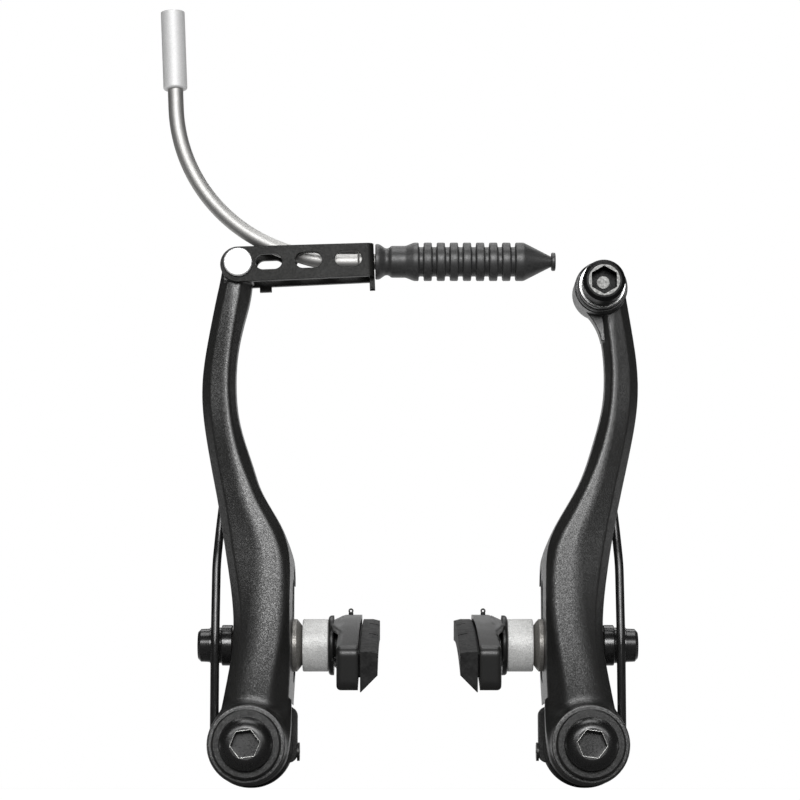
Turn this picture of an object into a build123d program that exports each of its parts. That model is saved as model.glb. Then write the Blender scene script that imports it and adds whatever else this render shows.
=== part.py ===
from build123d import *
import math
import os

os.makedirs("parts", exist_ok=True)

# A pair of linear-pull brake arms for a bicycle rim. x runs from the left arm to the right
# one, y away from the viewer and z up. The origin lies midway between the two frame bosses,
# on their shoulders. All lengths are in millimetres and all angles in degrees.
# "depth" is measured from the shoulders towards the viewer, and "across" from the left
# boss towards the wheel. The left side is modelled, and shared pieces are mirrored.

# Fits
running_gap = 0.05
play = 0.3

# Frame bosses, bush and pivot bolt
boss_spacing = 80.0
bush_bore_radius = 4.2
bush_radius = 5.5
pivot_bolt_radius = 3.0
pivot_bolt_reach = 27.0
pivot_shoulder = 0.6
pivot_head_radius = 6.3
pivot_head_flat_radius = 3.7
pivot_head_height = 3.8
pivot_hex_width = 6.0
pivot_hex_depth = 3.0
pivot_washer_radius = 8.1
pivot_washer_thickness = 1.6

# Spring holder behind each arm
holder_radius = 10.0
holder_thickness = 7.0
holder_lug_reach = 11.0
holder_lug_height = 13.4
holder_lug_rise = 2.7
holder_lug_round = 2.2
holder_lug_thickness = 5.6
frame_pin_radius = 1.25
frame_pin_length = 4.0
frame_pin_circle = 8.6
tension_screw_radius = 1.3
tension_screw_length = 4.6
tension_head_radius = 2.2
tension_head_height = 0.6
tension_screw_drop = 1.4

# Return spring
wire_radius = 1.05
coil_radius = 8.4
coil_pitch = 2.3
coil_turns = 1.25
leg_set_back = 4.6
leg_knee_shift = 0.7
leg_knee_rise = 5.5
leg_end_shift = 3.0
leg_end_rise = 24.5
leg_first_bend = 30.0
leg_bend = 40.0
cap_radius = 1.65
cap_length = 9.0
spring_pin_radius = 0.85
spring_pin_length = 4.0
spring_pin_height = 68.0

# Arm
arm_boss_radius = 9.6
arm_boss_length = 11.2
arm_land_radius = 9.1
arm_crest_rise = 6.3
sleeve_wall = 1.05
sleeve_flange = 0.8
arm_inner_face = 10.3
arm_inner_draft = 0.6
inner_seat = 9.9
outer_seat = 2.9
arm_back_reach = 1.3
flare_radius = 14.6
flare_hollow = 1.6
knee_height = 47.5
back_step_below = 3.0
back_step_above = 2.0
back_step_round = 3.0
bevel_width = 2.0
bevel_round = 1.0
ridge_round = 0.8
heel_round = 0.3
back_round = 0.5
arm_outer_draft = 0.7
flare_drop = 4.5
flare_lip = 1.4
tongue_slim = 1.0
tongue_root = 0.2
throat_drop = 3.0
throat_inset = 1.2
throat_radius = 14.0
throat_relief = 1.0
throat_meet_angle = 40.0
right_lean = 0.03
bow_height = 87.0
root_height = 12.0
slot_bottom = 18.2
slot_top = 40.0

# Shoe clamp
stud_height = 24.0
stud_depth = 5.0
stud_radius = 3.0
stud_seating = 0.6
stud_clearance = 0.3
inner_washer_radius = 6.3
outer_washer_radius = 4.9
washer_ball_radius = 9.0
dome_edge = 1.0
cup_share = 0.73
spacer_length = 6.2
outer_cup_length = 2.7
nut_length = 5.7
nut_radius = 4.3
nut_tip_radius = 3.95
nut_bevel = 0.7
nut_draft = 0.1
nut_hex_width = 5.0
nut_hex_depth = 2.4

# Shoe
shoe_pitch = 10.0
shoe_length = 70.0
shoe_curve_radius = 280.0
shoe_rise = 0.7
holder_flange_radius = 7.2
holder_flange_thickness = 1.3
holder_flange_round = 0.8
holder_neck_radius = 4.5
holder_neck_length = 1.4
holder_height = 10.3
holder_width = 4.9
holder_rib_span = 34.0
holder_rib_thickness = 1.3
holder_rib_spread = 8.2
holder_rib_root = 0.5
pad_gap = 0.5
pad_thickness = 4.0
pad_bevel = 3.8
pad_top_drop = 1.1
pad_shoulder_drop = 0.4
pad_shoulder_width = 1.6
pad_groove_width = 1.2
pad_groove_depth = 2.2
tenon_depth = 3.3
tenon_height = 5.4
channel_stop = 4.0
pad_pin_radius = 0.6
pad_pin_inset = 6.0
pad_eye_radius = 0.65
pad_eye_wire = 0.2

# Link and its pin, on the left arm
arm_length = 116.0
link_offset = 3.6
link_depth = 11.5
link_tilt = 2.2
link_width = 9.0
sheet_thickness = 1.3
link_reach = 33.0
link_end_radius = 4.35
link_drop = 0.4
link_far_half = 4.05
window_length = 6.6
window_height = 3.9
window_first = 7.4
window_pitch = 9.7
window_count = 3
tongue_thickness = 5.8
eye_radius = 4.1
link_pin_radius = 2.2
link_head_radius = 3.45
link_head_height = 1.2
link_hook_drop = 2.6
link_hook_width = 3.2
link_tab_width = 2.9
link_tab_start = 4.7
link_tab_drop = 1.5

# Noodle
tube_radius = 1.9
tube_bore_radius = 1.35
liner_bore_radius = 0.9
nose_rise = 0.23
noodle_bend_radius = 40.0
noodle_set_radius = 25.0
noodle_set_angle = 17.0
noodle_set_reach = 16.0
noodle_lean = 2.8
noodle_rise = 47.9
noodle_run = 34.6
nose_length = 3.0
ferrule_length = 19.7
ferrule_radius = 2.95
ferrule_round = 0.5
housing_bore_radius = 2.55
housing_depth = 15.0
collar_radius = 2.7
collar_length = 2.6
collar_bevel = 0.5

# Boot
boot_gap = 0.3
boot_length = 44.0
boot_bore_radius = 1.1
boot_lip_radius = 4.4
boot_lip_round = 0.4
boot_lip_length = 1.0
boot_neck_radius = 3.3
boot_neck_start = 2.4
boot_neck_end = 3.2
boot_sleeve_radius = 3.9
boot_sleeve_start = 3.9
boot_sleeve_end = 7.4
boot_rib_start = 9.4
boot_rib_radius = 4.7
boot_groove_radius = 3.6
boot_rib_pitch = 3.2
boot_groove_width = 1.2
boot_grooves = 8
boot_first_groove = 10.6
boot_tip_radius = 1.65
boot_rim_radius = 2.25
boot_rim_length = 1.3

# Cable clamp, on the right arm
clamp_below = 6.4
clamp_offset = 4.4
clamp_boss_radius = 6.4
clamp_front = 16.6
clamp_back = 7.5
clamp_plate_radius = 6.2
clamp_plate_thickness = 1.6
clamp_washer_radius = 5.8
clamp_washer_thickness = 2.0
clamp_washer_bevel = 0.3
cable_bolt_radius = 3.0
cable_bolt_length = 8.0
cable_head_radius = 5.05
cable_head_height = 6.0
cable_head_bevel = 0.8
cable_hex_width = 6.0
cable_hex_depth = 3.6
cable_radius = 0.8

# Places worked out from the sizes above
pivot_x = boss_spacing / 2
coil_start = holder_thickness + play + wire_radius
coil_end = coil_start + coil_turns * coil_pitch
arm_boss_back = coil_end + wire_radius + play
arm_land_depth = arm_boss_back + arm_boss_length
washer_seat = arm_land_depth + play
pivot_head_seat = washer_seat + pivot_washer_thickness
sleeve_radius = bush_radius + running_gap + sleeve_wall
crest_front = arm_boss_back + arm_crest_rise
tongue_back = link_depth - tongue_thickness / 2
lug_corner_across = holder_lug_reach - holder_lug_round
lug_corner_up = holder_lug_rise + holder_lug_height / 2 - holder_lug_round
holder_clearance = math.hypot(lug_corner_across, lug_corner_up) + holder_lug_round + play
hardware_bore = stud_radius + 2 * running_gap
clamp_height = arm_length - clamp_below
noodle_height = arm_length + link_reach * math.sin(math.radians(link_tilt)) - link_drop + nose_rise


def front(depth, across=0.0, height=0.0):
    """Upright plane that faces the viewer, with its origin at a place beside the left boss."""
    return Plane(origin=(across - pivot_x, -depth, height), x_dir=(1, 0, 0), z_dir=(0, -1, 0))


def side(across, depth, height):
    """Plane square to x that looks towards the wheel, with its x axis up."""
    return Plane(origin=(across - pivot_x, -depth, height), x_dir=(0, 0, 1), z_dir=(1, 0, 0))


pivot_axis = Axis((-pivot_x, 0, 0), (0, -1, 0))
pivot_profile = Plane(origin=(-pivot_x, 0, 0), x_dir=(1, 0, 0), z_dir=(0, 0, -1))
stud_axis = Axis((-pivot_x, -stud_depth, stud_height), (1, 0, 0))
stud_profile = front(stud_depth, 0, stud_height)


def save(piece, name):
    """Labels one finished piece and writes it."""
    piece.part.label = name
    export_step(piece.part, f"parts/{name}.step")


def save_pair(piece, name):
    """Writes a left-hand piece and its mirror image on the right arm."""
    save(piece, "left_" + name)
    with BuildPart() as twin:
        mirror(piece.part, about=Plane.YZ)
    save(twin, "right_" + name)


# Pivot bush
with BuildPart() as pivot_bush:
    with BuildSketch(front(0)):
        Circle(bush_radius)
        Circle(bush_bore_radius, mode=Mode.SUBTRACT)
    extrude(amount=washer_seat)
save_pair(pivot_bush, "pivot_bush")

# Ring under the bolt's head, with a raised rim
washer_step = pivot_washer_thickness / 4
with BuildPart() as pivot_washer:
    with BuildSketch(front(washer_seat)):
        Circle(pivot_washer_radius)
        Circle(pivot_bolt_radius + pivot_shoulder + running_gap, mode=Mode.SUBTRACT)
    extrude(amount=pivot_washer_thickness)
    chamfer(pivot_washer.edges().filter_by(GeomType.CIRCLE).sort_by(SortBy.RADIUS)[-1], washer_step)
save_pair(pivot_washer, "pivot_washer")

# Button-head pivot bolt, turned, with its hex socket cut in
with BuildPart() as pivot_bolt:
    head_edge = pivot_head_seat + pivot_head_height / 5
    head_top = pivot_head_seat + pivot_head_height
    shank_tip = pivot_head_seat - pivot_bolt_reach
    tip_bevel = pivot_bolt_radius / 5
    with BuildSketch(pivot_profile):
        with BuildLine():
            shank = Polyline(
                (0, shank_tip),
                (pivot_bolt_radius - tip_bevel, shank_tip),
                (pivot_bolt_radius, shank_tip + tip_bevel),
                (pivot_bolt_radius, washer_seat),
                (pivot_bolt_radius + pivot_shoulder, washer_seat),
                (pivot_bolt_radius + pivot_shoulder, pivot_head_seat),
                (pivot_head_radius, pivot_head_seat),
                (pivot_head_radius, head_edge),
            )
            crown = TangentArc(shank @ 1, (pivot_head_flat_radius, head_top), tangent=(0, 1))
            Polyline(crown @ 1, (0, head_top), (0, shank_tip))
        make_face()
    revolve(axis=pivot_axis)
    with BuildSketch(front(head_top)):
        RegularPolygon(pivot_hex_width / 2, 6, major_radius=False, rotation=8)
    extrude(amount=-pivot_hex_depth, mode=Mode.SUBTRACT)
save_pair(pivot_bolt, "pivot_bolt")

# Spring holder: a ring round the bush with a lug on the wheel side and a pin for the frame
lug_back = (holder_thickness - holder_lug_thickness) / 2
screw_depth = holder_thickness / 2
screw_bore = tension_screw_radius + running_gap
with BuildPart() as spring_holder:
    with BuildSketch(front(0)):
        Circle(holder_radius)
    extrude(amount=holder_thickness)
    with BuildSketch(front(lug_back, holder_lug_reach / 2, holder_lug_rise)):
        RectangleRounded(holder_lug_reach, holder_lug_height, holder_lug_round)
    extrude(amount=holder_lug_thickness)
    with BuildSketch(front(0)):
        Circle(bush_radius + running_gap)
    extrude(amount=holder_thickness, mode=Mode.SUBTRACT)
    with BuildSketch(front(0)):
        with PolarLocations(frame_pin_circle, 1, start_angle=225):
            Circle(frame_pin_radius)
    extrude(amount=-frame_pin_length)
    with BuildSketch(side(holder_lug_reach, screw_depth, -tension_screw_drop)):
        Circle(screw_bore)
    extrude(amount=-tension_screw_length - play, mode=Mode.SUBTRACT)
save_pair(spring_holder, "spring_holder")

# Tension screw with a cross slot
slot_width = tension_head_radius / 3
with BuildPart() as tension_screw:
    with BuildSketch(side(holder_lug_reach, screw_depth, -tension_screw_drop)):
        Circle(tension_screw_radius)
    extrude(amount=-tension_screw_length)
    with BuildSketch(side(holder_lug_reach, screw_depth, -tension_screw_drop)):
        Circle(tension_head_radius)
    extrude(amount=tension_head_height)
    with BuildSketch(side(holder_lug_reach + tension_head_height, screw_depth, -tension_screw_drop)):
        Rectangle(1.5 * tension_head_radius, slot_width)
        Rectangle(slot_width, 1.5 * tension_head_radius)
    extrude(amount=-tension_head_height / 2, mode=Mode.SUBTRACT)
save_pair(tension_screw, "tension_screw")

# Bearing sleeve in the arm's boss, with a flange on the arm's back
with BuildPart() as arm_sleeve:
    with BuildSketch(front(arm_boss_back)):
        Circle(sleeve_radius)
    extrude(amount=arm_boss_length - play)
    with BuildSketch(front(arm_boss_back)):
        Circle(coil_radius - wire_radius - play)
    extrude(amount=-sleeve_flange)
    with BuildSketch(front(arm_boss_back - sleeve_flange)):
        Circle(bush_radius + running_gap)
    extrude(amount=arm_boss_length + sleeve_flange, mode=Mode.SUBTRACT)
save_pair(arm_sleeve, "arm_sleeve")

# Return spring: a coil round the bush, then a long leg up the outside of the arm and behind it
leg_back = arm_boss_back - leg_set_back
with BuildPart() as spring:
    with BuildLine() as spring_path:
        coil = Helix(
            coil_pitch,
            coil_turns * coil_pitch,
            coil_radius,
            center=(-pivot_x, -coil_start, 0),
            direction=(0, -1, 0),
            lefthand=True,
        )
        leg_knee = Vector(-pivot_x - coil_radius + leg_knee_shift, -leg_back, knee_height + leg_knee_rise)
        leg_end = Vector(-pivot_x - coil_radius + leg_end_shift, -leg_back, knee_height + leg_end_rise)
        leg = FilletPolyline(
            coil @ 1,
            (coil @ 1) + (coil % 1) * stud_height,
            (-pivot_x - coil_radius, wire_radius - coil_end, slot_top + 3 * wire_radius),
            leg_knee,
            leg_end,
            radius=[leg_first_bend, leg_bend, leg_bend],
        )
    with BuildSketch(Plane(origin=coil @ 0, z_dir=coil % 0)):
        Circle(wire_radius)
    sweep(path=spring_path.wires()[0])
save_pair(spring, "spring")

# Plastic tip on the end of the leg
leg_way = (leg_end - leg_knee).normalized()
cap_plane = Plane(origin=leg_end + leg_way, z_dir=-leg_way)
with BuildPart() as spring_cap:
    with BuildSketch(cap_plane):
        Circle(cap_radius)
    extrude(amount=cap_length)
    with BuildSketch(cap_plane.offset(1 - running_gap)):
        Circle(wire_radius + running_gap)
    extrude(amount=cap_length, mode=Mode.SUBTRACT)
save_pair(spring_cap, "spring_cap")

# Dowel on the back of the arm that the leg bears on
leg_across = leg_end.X + pivot_x - (leg_end.Z - spring_pin_height) * leg_way.X / leg_way.Z
spring_pin_across = leg_across - cap_radius - spring_pin_radius - running_gap
arm_back = leg_back + cap_radius + play
with BuildPart() as spring_pin:
    with BuildSketch(front(arm_back, spring_pin_across, spring_pin_height)):
        Circle(spring_pin_radius)
    extrude(amount=spring_pin_length)
    extrude(spring_pin.faces().sort_by(Axis.Y)[-1], amount=spring_pin_length)
save_pair(spring_pin, "spring_pin")

# Stations of the forged arm, from inside its boss to the neck: height; outer edge, both ends
# of the crest and inner edge across; depth of the crest; fall of the front face and of the
# inner bevel from it; rounding of the crest
upper_rise = bow_height - knee_height
neck_rise = arm_length - bow_height
arm_stations = [
    (root_height / 4, -8.2, -1.0, 5.0, arm_inner_face - 1.4, crest_front - 1.3, 1.5, 3.6, 7.0),
    (root_height * 0.7, -6.7, -1.2, 5.2, arm_inner_face - 0.5, crest_front - 0.8, 1.5, 3.4, 7.0),
    (root_height * 1.3, -5.3, -0.8, 5.8, arm_inner_face - 0.1, crest_front - 0.3, 1.5, 3.2, 7.0),
    (stud_height, -4.1, 1.0, 7.3, arm_inner_face, crest_front, 1.7, 2.6, 8.0),
    (slot_top, -5.1, 2.3, 8.4, arm_inner_face - 0.1, crest_front, 1.7, 2.2, 8.0),
    (knee_height, -6.3, 1.8, 6.8, arm_inner_face - 0.9, crest_front - 0.1, 1.7, 2.8, 6.0),
    (knee_height + 0.17 * upper_rise, -7.4, -0.4, 3.6, 6.5, crest_front - 0.3, 1.6, 3.2, 5.0),
    (knee_height + 0.37 * upper_rise, -8.9, -2.9, -0.1, 2.2, crest_front - 0.6, 1.5, 3.4, 4.0),
    (knee_height + 0.62 * upper_rise, -10.8, -5.2, -3.6, -1.1, crest_front - 1.0, 1.5, 3.6, 3.0),
    (knee_height + 0.87 * upper_rise, -12.1, -6.4, -5.2, -3.3, crest_front - 1.6, 1.3, 3.8, 2.5),
    (bow_height + 0.1 * neck_rise, -12.0, -6.6, -5.4, -3.5, crest_front - 2.4, 1.2, 3.8, 2.5),
    (bow_height + 0.45 * neck_rise, -10.6, -5.8, -4.5, -2.2, crest_front - 3.7, 0.9, 3.4, 2.5),
    (bow_height + 0.74 * neck_rise, -9.1, -5.2, -3.3, -0.3, crest_front - 4.45, 0.6, 3.2, 2.5),
    (bow_height + 0.86 * neck_rise, -8.4, -5.0, -2.8, 0.1, crest_front - 4.5, 0.5, 3.2, 2.5),
]
link_station = (bow_height + 0.97 * neck_rise, -7.9, -4.8, -2.6, 0.4, crest_front - 4.5, 0.5, 3.2, 2.5)


def boss_outline():
    """Draws the arm's foot: a round boss that runs tangent into the flat inner face."""
    turn_height = root_height / 2
    inner = arm_inner_face - 0.3
    sweep_radius = (inner**2 + turn_height**2 - arm_boss_radius**2) / (2 * (inner - arm_boss_radius))
    centre = Vector(inner - sweep_radius, turn_height)
    meet = -centre.normalized() * arm_boss_radius
    top = root_height + 1.0
    with BuildLine() as outline:
        face = Line((inner, top), (inner, turn_height))
        run = RadiusArc(face @ 1, meet, sweep_radius)
        leave = Vector(-arm_boss_radius, 0).rotate(Axis.Z, -12)
        under = ThreePointArc(run @ 1, Vector(0, -arm_boss_radius).rotate(Axis.Z, -20), leave)
        flank = Spline(under @ 1, (-arm_boss_radius / 2, top), tangents=[under % 1, (0.1, 1)])
        Line(flank @ 1, face @ 0)
    make_face(outline.edges())


# What both arms share: the forged bar with its bevels and soft crest, cut to its profile at
# the back, and a turned boss with a hollow flare that is kept within the foot's outline
bar_back = arm_back_reach + 1.0
flare_low = crest_front - flare_drop
flare_high = arm_land_depth - flare_lip
arm_bars = []
for lean, stations in ((0.0, arm_stations + [link_station]), (right_lean, arm_stations)):
    with BuildPart() as arm_bar:
        for height, outer, crest_start, crest_end, inner, crest_depth, face_fall, inner_fall, soft in stations:
            edge = crest_depth / 4 - crest_depth
            start = -pivot_x - lean * max(0.0, height - knee_height)
            with BuildSketch(Plane.XY.offset(height)):
                with BuildLine():
                    FilletPolyline(
                        (start + outer + arm_outer_draft, bar_back),
                        (start + outer, edge),
                        (start + outer + bevel_width, face_fall - crest_depth),
                        (start + crest_start, -crest_depth),
                        (start + crest_end, -crest_depth),
                        (start + inner - arm_inner_draft, inner_fall - crest_depth),
                        (start + inner, bar_back),
                        radius=[
                            back_round,
                            bevel_round,
                            ridge_round,
                            soft,
                            soft / 4 + heel_round,
                            bevel_round,
                            back_round,
                        ],
                        close=True,
                    )
                make_face()
        loft()
        with BuildSketch(side(0, 0, 0)):
            with BuildLine():
                back_line = FilletPolyline(
                    (0, -arm_back_reach),
                    (knee_height - back_step_below, -arm_back_reach),
                    (knee_height + back_step_above, arm_back),
                    (bow_height + 0.17 * neck_rise, arm_back),
                    (bow_height + 0.66 * neck_rise, tongue_back),
                    (arm_length + neck_rise, tongue_back),
                    radius=[back_step_round, back_step_round, 0.6 * neck_rise, 0.6 * neck_rise],
                )
                far_back = (arm_length + neck_rise, -boss_spacing)
                Polyline(back_line @ 1, far_back, (0, -boss_spacing), back_line @ 0)
            make_face()
        extrude(amount=boss_spacing / 4, both=True, mode=Mode.SUBTRACT)
    arm_bars.append(arm_bar.part)
left_bar, right_bar = arm_bars
with BuildPart() as arm_boss:
    with BuildSketch(pivot_profile):
        with BuildLine():
            foot = Polyline(
                (arm_land_radius, flare_high),
                (arm_land_radius, arm_land_depth),
                (0, arm_land_depth),
                (0, arm_boss_back),
                (flare_radius, arm_boss_back),
                (flare_radius, flare_low),
            )
            SagittaArc(foot @ 1, foot @ 0, flare_hollow)
        make_face()
    revolve(axis=pivot_axis)
    with BuildSketch(front(arm_boss_back)):
        boss_outline()
    extrude(amount=arm_boss_length, mode=Mode.INTERSECT)

# What is cut from both: the bearing's bore, room for the spring, the slot with its two seats,
# and the dowel's hole
slot_middle = (slot_bottom + slot_top) / 2
slot_height = slot_top - slot_bottom
slot_half_width = stud_radius + stud_clearance
spot_radius = inner_washer_radius + play
with BuildPart() as arm_cutter:
    with BuildSketch(front(arm_boss_back)):
        Circle(sleeve_radius + running_gap)
    extrude(amount=arm_boss_length)
    with BuildSketch(front(arm_boss_back)):
        Circle(holder_clearance)
    extrude(amount=-arm_boss_back - arm_back_reach - 1)
    with BuildSketch(side(0, stud_depth, slot_middle)):
        SlotOverall(slot_height, 2 * slot_half_width)
    extrude(amount=arm_inner_face + stud_radius, both=True)
    for seat, way in ((inner_seat, 1), (-outer_seat, -1)):
        with BuildSketch(side(seat, stud_depth, slot_middle)):
            SlotOverall(slot_height + 2 * (spot_radius - slot_half_width), 2 * spot_radius)
        extrude(amount=way * arm_inner_face)
    with BuildSketch(front(arm_back, spring_pin_across, spring_pin_height)):
        Circle(spring_pin_radius + running_gap)
    extrude(amount=spring_pin_length + play)

# Left arm, with a flat tongue and eye for the link's pin
with BuildPart() as left_arm:
    add(left_bar)
    add(arm_boss.part)
    with BuildSketch(front(tongue_back, -link_offset, arm_length)):
        Circle(eye_radius)
        Trapezoid(2 * eye_radius - tongue_slim, eye_radius + tongue_root, 90, align=(Align.CENTER, Align.MAX))
    extrude(amount=tongue_thickness)
    add(arm_cutter.part, mode=Mode.SUBTRACT)
    with BuildSketch(front(tongue_back, -link_offset, arm_length)):
        Circle(link_pin_radius + running_gap)
    extrude(amount=tongue_thickness, mode=Mode.SUBTRACT)
save(left_arm, "left_arm")

# Right arm, with a round boss for the cable bolt and a hollow throat under it
throat_low = arm_stations[-3]
throat_angle = -math.radians(throat_meet_angle)
with BuildPart() as right_arm_mirrored:
    add(right_bar)
    add(arm_boss.part)
    with BuildSketch(front(clamp_back, -clamp_offset, clamp_height)):
        Circle(clamp_boss_radius)
    extrude(amount=clamp_front - clamp_back)
    with BuildSketch(front(tongue_back + throat_relief)):
        with BuildLine():
            low = (throat_low[4] - right_lean * upper_rise - throat_inset, throat_low[0] - throat_drop)
            high = (
                clamp_boss_radius * math.cos(throat_angle) - clamp_offset,
                clamp_height + clamp_boss_radius * math.sin(throat_angle),
            )
            RadiusArc(low, high, throat_radius)
            heel = (throat_low[1] + bevel_width, throat_low[0] - throat_drop)
            Polyline(high, (-clamp_offset, clamp_height), heel, low)
        make_face()
    extrude(amount=tongue_thickness - 2 * throat_relief)
    add(arm_cutter.part, mode=Mode.SUBTRACT)
    with BuildSketch(front(clamp_back, -clamp_offset, clamp_height)):
        Circle(cable_bolt_radius + running_gap)
    extrude(amount=clamp_front - clamp_back, mode=Mode.SUBTRACT)
with BuildPart() as right_arm:
    mirror(right_arm_mirrored.part, about=Plane.YZ)
save(right_arm, "right_arm")


def ball_reach(radius, at):
    """How far a ball of that radius reaches past its middle at a distance from its axis."""
    return math.sqrt(radius**2 - at**2)


def cup_lip(radius):
    """How far from the seat a cup washer of that radius begins, over its dome."""
    ball = washer_ball_radius + play
    return dome_edge + cup_share * (ball_reach(ball, hardware_bore) - ball_reach(ball, radius))


def dome_washer(seat, way, radius):
    """Turns a washer that is flat on its seat and ball-shaped on the far side."""
    middle = dome_edge - ball_reach(washer_ball_radius, radius)
    halfway = (radius + hardware_bore) / 2
    with BuildPart() as washer:
        with BuildSketch(stud_profile):
            with BuildLine():
                rim = Polyline((seat, hardware_bore), (seat, radius), (seat + way * dome_edge, radius))
                ball = ThreePointArc(
                    rim @ 1,
                    (seat + way * (middle + ball_reach(washer_ball_radius, halfway)), halfway),
                    (seat + way * (middle + ball_reach(washer_ball_radius, hardware_bore)), hardware_bore),
                )
                Line(ball @ 1, rim @ 0)
            make_face()
        revolve(axis=stud_axis)
    return washer


def cup_washer(seat, way, radius, length):
    """Turns the washer that rides on a dome: hollow to the ball, with a flat far face."""
    middle = dome_edge - ball_reach(washer_ball_radius, radius)
    ball = washer_ball_radius + play
    lip = cup_lip(radius)
    mouth = ball_reach(ball, lip - middle)
    halfway = (mouth + hardware_bore) / 2
    with BuildPart() as washer:
        with BuildSketch(stud_profile):
            with BuildLine():
                rim = FilletPolyline(
                    (seat + way * lip, mouth),
                    (seat + way * lip, radius),
                    (seat + way * (lip + length), radius),
                    (seat + way * (lip + length), hardware_bore),
                    radius=[play, play],
                )
                base = (seat + way * (middle + ball_reach(ball, hardware_bore)), hardware_bore)
                Line(rim @ 1, base)
                ThreePointArc(base, (seat + way * (middle + ball_reach(ball, halfway)), halfway), rim @ 0)
            make_face()
        revolve(axis=stud_axis)
    return washer


save_pair(dome_washer(inner_seat, 1, inner_washer_radius), "inner_dome_washer")
save_pair(cup_washer(inner_seat, 1, inner_washer_radius, spacer_length), "inner_cup_washer")
save_pair(dome_washer(-outer_seat, -1, outer_washer_radius), "outer_dome_washer")
save_pair(cup_washer(-outer_seat, -1, outer_washer_radius, outer_cup_length), "outer_cup_washer")
shoe_seat = inner_seat + cup_lip(inner_washer_radius) + spacer_length
nut_seat = -outer_seat - cup_lip(outer_washer_radius) - outer_cup_length
nut_end = nut_seat - nut_length

# Barrel nut on the outer end of the stud
nut_step = nut_seat - nut_length / 2
with BuildPart() as shoe_nut:
    with BuildSketch(stud_profile):
        with BuildLine():
            Polyline(
                (nut_seat, 0),
                (nut_seat, nut_radius),
                (nut_step, nut_radius),
                (nut_step, nut_tip_radius + nut_draft),
                (nut_end + nut_bevel, nut_tip_radius),
                (nut_end, nut_tip_radius - nut_bevel),
                (nut_end, 0),
                close=True,
            )
        make_face()
    revolve(axis=stud_axis)
    with BuildSketch(side(nut_end, stud_depth, stud_height)):
        RegularPolygon(nut_hex_width / 2, 6, major_radius=False)
    extrude(amount=nut_hex_depth, mode=Mode.SUBTRACT)
    with BuildSketch(side(nut_end, stud_depth, stud_height)):
        Circle(hardware_bore)
    extrude(amount=nut_length, mode=Mode.SUBTRACT)
save_pair(shoe_nut, "shoe_nut")

# Threaded stud of the shoe, from inside the nut to inside the holder
body_back = shoe_seat + holder_flange_thickness + holder_neck_length
stud_end = body_back + stud_seating
with BuildPart() as shoe_stud:
    with BuildSketch(side(nut_end + nut_hex_depth + play, stud_depth, stud_height)):
        Circle(stud_radius)
    extrude(amount=stud_end - nut_end - nut_hex_depth - play)
    chamfer(shoe_stud.edges().filter_by(GeomType.CIRCLE).sort_by(Axis.X)[0], stud_radius / 5)
save_pair(shoe_stud, "shoe_stud")


def shoe_plane(across):
    """Plane of the shoe at a place across, with x along the shoe and y up, pitched as it is set."""
    tilt = math.radians(shoe_pitch)
    return Plane(
        origin=(across - pivot_x, -stud_depth, stud_height),
        x_dir=(0, math.cos(tilt), math.sin(tilt)),
        z_dir=(1, 0, 0),
    )


def shoe_drop(along):
    """How far the shoe's curve falls below its middle at a distance along it."""
    return shoe_curve_radius - math.sqrt(shoe_curve_radius**2 - along**2)


def shoe_band(low, high, start, end):
    """Draws a band along the rim's curve between two heights and two places along the shoe."""
    with BuildLine() as band:
        top = ThreePointArc(
            (start, high - shoe_drop(start)),
            ((start + end) / 2, high - shoe_drop((start + end) / 2)),
            (end, high - shoe_drop(end)),
        )
        bottom = ThreePointArc(
            (start, low - shoe_drop(start)),
            ((start + end) / 2, low - shoe_drop((start + end) / 2)),
            (end, low - shoe_drop(end)),
        )
        Line(top @ 0, bottom @ 0)
        Line(top @ 1, bottom @ 1)
    make_face(band.edges())


shoe_half = shoe_length / 2
holder_low = shoe_rise - holder_height / 2
holder_high = shoe_rise + holder_height / 2
body_front = body_back + holder_width
channel_half = tenon_height / 2 + running_gap
pin_along = shoe_half - pad_pin_inset
pin_across = body_front - tenon_depth * 0.85

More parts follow.
